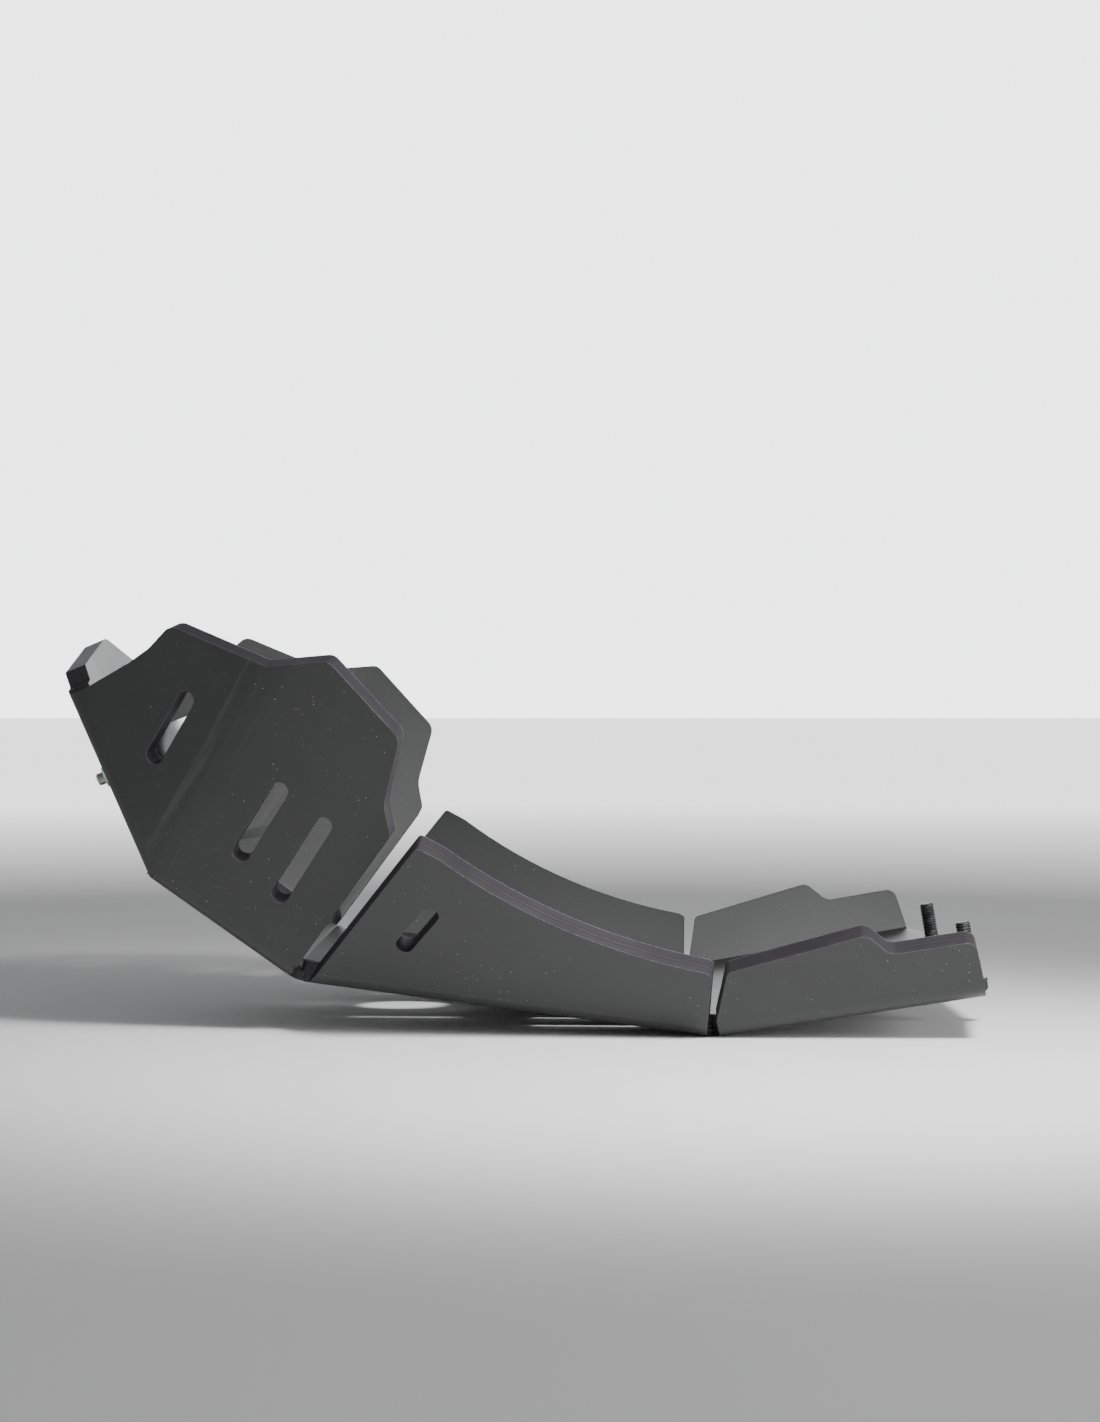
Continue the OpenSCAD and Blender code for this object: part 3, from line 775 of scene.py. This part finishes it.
@dataclass
class TornCurls:
    """Small curls of plastic torn up where the sheet was pinched at the foot of each gap, in one piece.

    The feet, the spread round them and the strides are in millimetres, the bends in radians a stride. Pairs
    are the least and the most.
    """

    node: str = "skid_plate"
    feet: tuple[Triple, ...] = (
        (-76.5, 92.0, 10.5),
        (-75.5, 94.0, 13.5),
        (75.0, 108.5, -6.0),
        (75.2, 109.5, -4.0),
    )
    curls: int = 5
    spread: float = 1.5
    lean: float = 0.6
    bend: tuple[float, float] = (0.15, 0.5)
    stride: tuple[float, float] = (0.35, 0.7)
    ragged: tuple[float, float] = (0.6, 1.0)
    tip_share: float = 0.4
    width: float = 0.9 * MM
    thickness: float = 0.25 * MM
    steps: int = 7
    root: float = 0.12 * MM
    seed: int = 11
    finish: SheetFinish = SheetFinish("torn_polyethylene", (0.012, 0.012, 0.013), (0.03, 0.03, 0.032))

    def build(self) -> bpy.types.Object:
        """Builds the curls of both sides.

        Returns:
            The piece.
        """
        sheet = frame["nodes"][self.node].data
        tree = BVHTree.FromPolygons([v.co for v in sheet.vertices], [p.vertices for p in sheet.polygons])
        points: list[Vector] = []
        faces: list[tuple[int, ...]] = []
        for side in (-1, 1):
            dice = random.Random(self.seed)
            for x, y, z in self.feet:
                for _ in range(self.curls):
                    self._curl(dice, tree, Vector((x, side * y, z)) * MM, points, faces)
        mesh = bpy.data.meshes.new("torn_curls")
        mesh.from_pydata([tuple(p) for p in points], [], faces)
        mesh.materials.append(self.finish.material())
        piece = link(mesh, "torn_curls")
        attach(piece, BODY)
        return piece

    def _curl(self, dice: random.Random, tree: BVHTree, foot: Vector, points: list, faces: list) -> None:
        """Adds one tapering curl, rooted in the sheet.

        Args:
            dice: Source of its chances.
            tree: The sheet's surface.
            foot: Middle of the group of curls.
            points: The mesh's points, which it extends.
            faces: The mesh's faces, which it extends.
        """
        near = foot + Vector([dice.uniform(-self.spread, self.spread) * MM for _ in range(3)])
        surface, normal, _, _ = tree.find_nearest(near)
        place = surface - normal * self.root
        heading = (normal + self.lean * Vector([dice.uniform(-1, 1) for _ in range(3)])).normalized()
        axis = heading.cross(Vector((dice.uniform(-1, 1), 0.3, dice.uniform(-1, 1)))).normalized()
        turn = Matrix.Rotation(dice.uniform(*self.bend), 3, axis)
        stride = dice.uniform(*self.stride) * MM
        first = len(points)
        for step in range(self.steps):
            fade = 1 - step / self.steps
            out = heading.cross(axis)
            half_w = axis * (self.width / 2 * fade * dice.uniform(*self.ragged))
            half_t = out * (self.thickness / 2 * (self.tip_share + (1 - self.tip_share) * fade))
            corners = ((-1, -1), (1, -1), (1, 1), (-1, 1))
            points.extend(place + a * half_w + b * half_t for a, b in corners)
            place = place + heading * stride
            heading = turn @ heading
        for ring in range(first, len(points) - 4, 4):
            for j in range(4):
                k = (j + 1) % 4
                faces.append((ring + j, ring + k, ring + 4 + k, ring + 4 + j))
        faces.append((first + 3, first + 2, first + 1, first))
        faces.append(tuple(range(len(points) - 4, len(points))))


@dataclass(frozen=True)
class BoltSize:
    """Sizes of a hexagon bolt: its head, its plain shank and its thread.

    The thread narrows over the lead at its tip, and its depth is given in pitches. Crown lists the rings of
    the head's chamfer: place in heads and greatest radius in widths across the flats.
    """

    flats: float
    head: float
    diameter: float
    pitch: float
    plain: float
    lead: float = 0.6 * MM
    depth: float = 0.54
    crown: tuple[tuple[float, float], ...] = ((0.0, 0.40), (0.0, 0.475), (0.12, 0.53), (0.264, 0.60))


@dataclass
class Bolt:
    """A hexagon bolt with a real helical thread. Steps counts the thread's rings in one pitch."""

    name: str
    node: str
    along: Vector
    size: BoltSize
    finish: MetalFinish
    slot: str
    steps: int = 8
    segments: int = 48

    def build(self) -> bpy.types.Object:
        """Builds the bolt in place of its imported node.

        Returns:
            The piece.
        """
        axis, start, end = Axis.of_node(self.node, self.along)
        piece = turned(self.name, axis, self._profile(start, end), self.segments)
        piece.data.materials.append(self.finish.material())
        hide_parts(self.node)
        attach(piece, BODY)
        return piece

    def _profile(self, start: float, end: float) -> Profile:
        """Lists the rings from the head to the tip.

        Args:
            start: Where the head begins along the axis.
            end: Where the tip ends.

        Returns:
            The rings of the head, the plain shank and the thread.
        """
        size = self.size
        shape = hexagon(size.flats)
        crest = size.diameter / 2
        root = crest - size.depth * size.pitch
        neck = start + size.head
        thread = neck + size.plain
        rings: Profile = [(start + p * size.head, within(shape, r * size.flats)) for p, r in size.crown]
        rings += [(neck, shape), (neck, circle(crest)), (thread, circle(crest))]
        count = round((end - thread) / size.pitch * self.steps)
        for i in range(1, count + 1):
            place = thread + (end - thread) * i / count
            limit = crest - max(0.0, place - (end - size.lead))
            rings.append((place, self._thread(place, root, limit)))
        return rings

    def _thread(self, place: float, root: float, limit: float) -> Callable[[float], float]:
        """Works out the thread's ring at one place along the axis.

        Args:
            place: The place.
            root: Radius at the bottom of the thread.
            limit: Radius that the ring keeps within.

        Returns:
            The radius by angle.
        """

        def radius(angle: float) -> float:
            """Works out the radius at an angle: a ridge that climbs one pitch a turn.

            Args:
                angle: The angle round the axis.

            Returns:
                The radius.
            """
            phase = (place / self.size.pitch - angle / (2 * math.pi)) % 1.0
            ridge = min(1.0, 1.25 * (1 - abs(2 * phase - 1)))
            return min(limit, root + (self.size.diameter / 2 - root) * ridge)

        return radius


@dataclass
class Nut:
    """A hexagon nut with chamfered corners, its bore filled by the bolt.

    The bevel's height is a share of the nut's, its two radii are shares of the width across the flats, and
    the mouth is the radius of the bore's countersink as a share of the bore.
    """

    name: str
    node: str
    along: Vector
    flats: float
    bore: float
    finish: MetalFinish
    bevel: float = 0.1
    bevel_radii: tuple[float, float] = (0.475, 0.54)
    mouth: float = 0.56
    twin: float = 0.0001 * MM
    segments: int = 72

    def build(self) -> bpy.types.Object:
        """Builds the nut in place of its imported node.

        Returns:
            The piece.
        """
        axis, start, end = Axis.of_node(self.node, self.along)
        shape = hexagon(self.flats)
        bevel = self.bevel * (end - start)
        face, corner = (within(shape, share * self.flats) for share in self.bevel_radii)
        bore = circle(self.bore / 2)
        rings = [
            (start, bore),
            (start, face),
            (start + bevel, corner),
            (start + 2 * bevel, shape),
            (end - 2 * bevel, shape),
            (end - bevel, corner),
            (end, face),
            (end, circle(self.mouth * self.bore)),
            (end - bevel, bore),
            (start, bore),
        ]
        piece = turned(self.name, axis, rings, self.segments)
        self._open_bore(piece)
        piece.data.materials.append(self.finish.material())
        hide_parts(self.node)
        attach(piece, BODY)
        return piece

    def _open_bore(self, piece: bpy.types.Object) -> None:
        """Joins the first and last rings, so that the bore is open from end to end.

        Args:
            piece: The nut, closed by a cap at either end.
        """
        bm = bmesh.new()
        bm.from_mesh(piece.data)
        caps = [face for face in bm.faces if len(face.verts) == self.segments]
        bmesh.ops.delete(bm, geom=caps, context="FACES_ONLY")
        bmesh.ops.remove_doubles(bm, verts=bm.verts, dist=self.twin)
        bmesh.ops.recalc_face_normals(bm, faces=bm.faces)
        bm.to_mesh(piece.data)
        bm.free()


@dataclass
class Fixings:
    """The clamps in front and the bolts at both ends, on both sides."""

    riser_out: Vector
    tail_in: Vector
    front_size: BoltSize = BoltSize(
        flats=8 * MM, head=3.5 * MM, diameter=5 * MM, pitch=0.8 * MM, plain=8 * MM
    )
    rear_size: BoltSize = BoltSize(
        flats=10 * MM, head=4 * MM, diameter=5.9 * MM, pitch=1.0 * MM, plain=9.5 * MM
    )
    nut_flats: float = 8 * MM
    nut_bore: float = 5.1 * MM
    zinc: MetalFinish = MetalFinish("bright_zinc", (0.60, 0.66, 0.60), (0.80, 0.82, 0.80), 0.34)
    black: MetalFinish = MetalFinish("black_oxide", (0.03, 0.03, 0.032), (0.22, 0.22, 0.23), 0.42, 0.6)
    strip: MetalFinish = MetalFinish(
        "zinc_strip", (0.56, 0.57, 0.58), (0.82, 0.82, 0.83), 0.36, brushed=(1500, 30, 1500)
    )
    rubber: RubberFinish = RubberFinish()

    def build(self) -> list[bpy.types.Object]:
        """Builds and dresses every fixing.

        Returns:
            The pieces, left side first.
        """
        pieces: list[bpy.types.Object] = []
        strip, rubber, zinc, black = (f.material() for f in (self.strip, self.rubber, self.zinc, self.black))
        for side in SIDES:
            pieces.append(self._front_bolt(side).build())
            pieces.append(self._front_nut(side).build())
            pieces.append(self._rear_bolt(side).build())
            for node, material in (
                (f"front_clamp_{side}", strip),
                (f"clamp_liner_{side}", rubber),
                (f"front_washer_{side}", zinc),
                (f"rear_washer_{side}", black),
            ):
                pieces.append(self._dress(node, material))
        return pieces

    def _front_bolt(self, side: str) -> Bolt:
        """Sizes the bolt of one front clamp, its head behind the riser.

        Args:
            side: Which side of the part.

        Returns:
            The bolt, ready to build.
        """
        return Bolt(
            name=f"clamp_bolt_{side}",
            node=f"front_bolt_{side}",
            along=self.riser_out,
            size=self.front_size,
            finish=self.zinc,
            slot="zinc",
        )

    def _front_nut(self, side: str) -> Nut:
        """Sizes the nut of one front clamp.

        Args:
            side: Which side of the part.

        Returns:
            The nut, ready to build.
        """
        return Nut(
            name=f"clamp_nut_{side}",
            node=f"front_nut_{side}",
            along=self.riser_out,
            flats=self.nut_flats,
            bore=self.nut_bore,
            finish=self.zinc,
        )

    def _rear_bolt(self, side: str) -> Bolt:
        """Sizes the bolt of one rear corner, its head below the tail.

        Args:
            side: Which side of the part.

        Returns:
            The bolt, ready to build.
        """
        return Bolt(
            name=f"tail_bolt_{side}",
            node=f"rear_bolt_{side}",
            along=self.tail_in,
            size=self.rear_size,
            finish=self.black,
            slot="black_steel",
        )

    def _dress(self, node: str, material: bpy.types.Material) -> bpy.types.Object:
        """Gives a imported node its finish.

        Args:
            node: Name of the node.
            material: Its finish.

        Returns:
            The node's object.
        """
        piece = frame["nodes"][node]
        piece.data.materials.clear()
        piece.data.materials.append(material)
        return piece


# Lights, floor and camera


@dataclass(frozen=True)
class KeyLight:
    """The soft square light that stands off to the rear on the left side."""

    name: str = "key"
    place: Triple = (1.6, -0.8, 0.45)
    target: Triple = (0.0, 0.0, 0.05)
    watts: float = 26.0
    side: float = 0.8

    def lamp(self) -> bpy.types.Light:
        """Makes the lamp.

        Returns:
            The lamp's data, not yet hung anywhere.
        """
        light = bpy.data.lights.new(self.name, "AREA")
        light.size = self.side
        light.energy = self.watts
        return light


@dataclass(frozen=True)
class PoolLight:
    """The lamp that throws a soft pool on the paper, which the leaning faces catch from below."""

    name: str = "pool"
    place: Triple = (0.31, -0.46, 0.62)
    target: Triple = (0.07, -0.17, -0.03)
    watts: float = 43.0
    beam: float = math.radians(58)
    radius: float = 0.12

    def lamp(self) -> bpy.types.Light:
        """Makes the lamp.

        Returns:
            The lamp's data, not yet hung anywhere.
        """
        light = bpy.data.lights.new(self.name, "SPOT")
        light.energy = self.watts
        light.spot_size = self.beam
        light.spot_blend = 1.0
        light.shadow_soft_size = self.radius
        return light


@dataclass
class Studio:
    """Pale paper floor, soft lights and the camera, which stands level beside the left side.

    The world's pale band fades out between the two values of low, and its bright area fades in between the
    two values of behind. Both are read on the direction looked in: the first on its Z, the second on its Y.
    """

    photo_size: tuple[int, int] = (1100, 1422)
    focal_px: float = 3036.0
    eye: Triple = (16.5 * MM, -1202 * MM, 108.2 * MM)
    film: float = 36.0
    clip_end: float = 50.0
    floor_size: float = 200.0
    sky: Colour = (0.97, 0.98, 1.0)
    low: tuple[float, float] = (0.22, 0.40)
    behind: tuple[float, float] = (0.84, 0.95)
    backdrop: float = 3.6
    band: float = 0.6
    ambient: float = 0.15

    def build(self) -> None:
        """Builds the floor, the world, the lights and the camera."""
        self._floor(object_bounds()[0].z)
        self._world()
        for light in (KeyLight(), PoolLight()):
            self._hang(light)
        self._camera()

    def _floor(self, height: float) -> None:
        """Lays the paper under the part's lowest point.

        Args:
            height: Height of that point.
        """
        half = self.floor_size / 2
        corners = [(x * half, y * half, height) for x, y in ((-1, -1), (1, -1), (1, 1), (-1, 1))]
        mesh = bpy.data.meshes.new("floor")
        mesh.from_pydata(corners, [], [(0, 1, 2, 3)])
        mesh.materials.append(FloorFinish().material())
        link(mesh, "floor")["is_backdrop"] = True

    def _world(self) -> None:
        """Surrounds the scene with soft light: dim above, paler low down and brightest behind the part."""
        world = bpy.data.worlds.new("studio")
        world.use_nodes = True
        nodes = NodeSheet(world)
        background = world.node_tree.nodes["Background"]
        parts = nodes.add("ShaderNodeSeparateXYZ", {0: nodes.node("ShaderNodeTexCoord", {}, "Generated")})
        around = nodes.between(parts.outputs["Z"], *self.low, self.band, self.ambient)
        behind = nodes.between(parts.outputs["Y"], *self.behind, 0.0, self.backdrop)
        world.node_tree.links.new(nodes.math("MAXIMUM", around, behind), background.inputs["Strength"])
        background.inputs["Color"].default_value = (*self.sky, 1.0)
        bpy.context.scene.world = world

    def _hang(self, light: KeyLight | PoolLight) -> None:
        """Hangs one light, turned towards its target.

        Args:
            light: The light.
        """
        hung = bpy.data.objects.new(light.name, light.lamp())
        hung.location = light.place
        aim = Vector(light.target) - Vector(light.place)
        hung.rotation_euler = aim.to_track_quat("-Z", "Y").to_euler()
        bpy.context.scene.collection.objects.link(hung)

    def _camera(self) -> None:
        """Stands the camera where the photograph was taken from."""
        data = bpy.data.cameras.new("camera")
        data.sensor_width = self.film
        data.lens = self.film * self.focal_px / max(self.photo_size)
        data.clip_end = self.clip_end
        camera = bpy.data.objects.new("camera", data)
        camera.location = self.eye
        camera.rotation_euler = (math.pi / 2, 0.0, 0.0)
        bpy.context.scene.collection.objects.link(camera)
        bpy.context.scene.camera = camera


def mount_axis(name: str) -> Vector:
    """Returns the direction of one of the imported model's mounts."""
    return next(Vector(m["axis"]) for m in frame["record"]["mounts"] if m["name"] == name)


def main() -> None:
    """Builds the part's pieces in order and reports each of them."""
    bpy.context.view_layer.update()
    sheet = FoldedSheet().build()
    LOG.info("sheet: %s, %d faces", sheet.name, len(sheet.data.polygons))
    curls = TornCurls().build()
    LOG.info("curls: %s, %d faces", curls.name, len(curls.data.polygons))
    riser_out = mount_axis("tube_clamp_left").cross(ACROSS)
    fixings = Fixings(riser_out, tail_in=mount_axis("rear_thread_left"))
    for piece in fixings.build():
        LOG.info("fixing: %s, %d faces", piece.name, len(piece.data.polygons))
    Studio().build()
    bpy.context.view_layer.update()


if __name__ == "__main__":
    logging.basicConfig(level=logging.INFO)
    main()
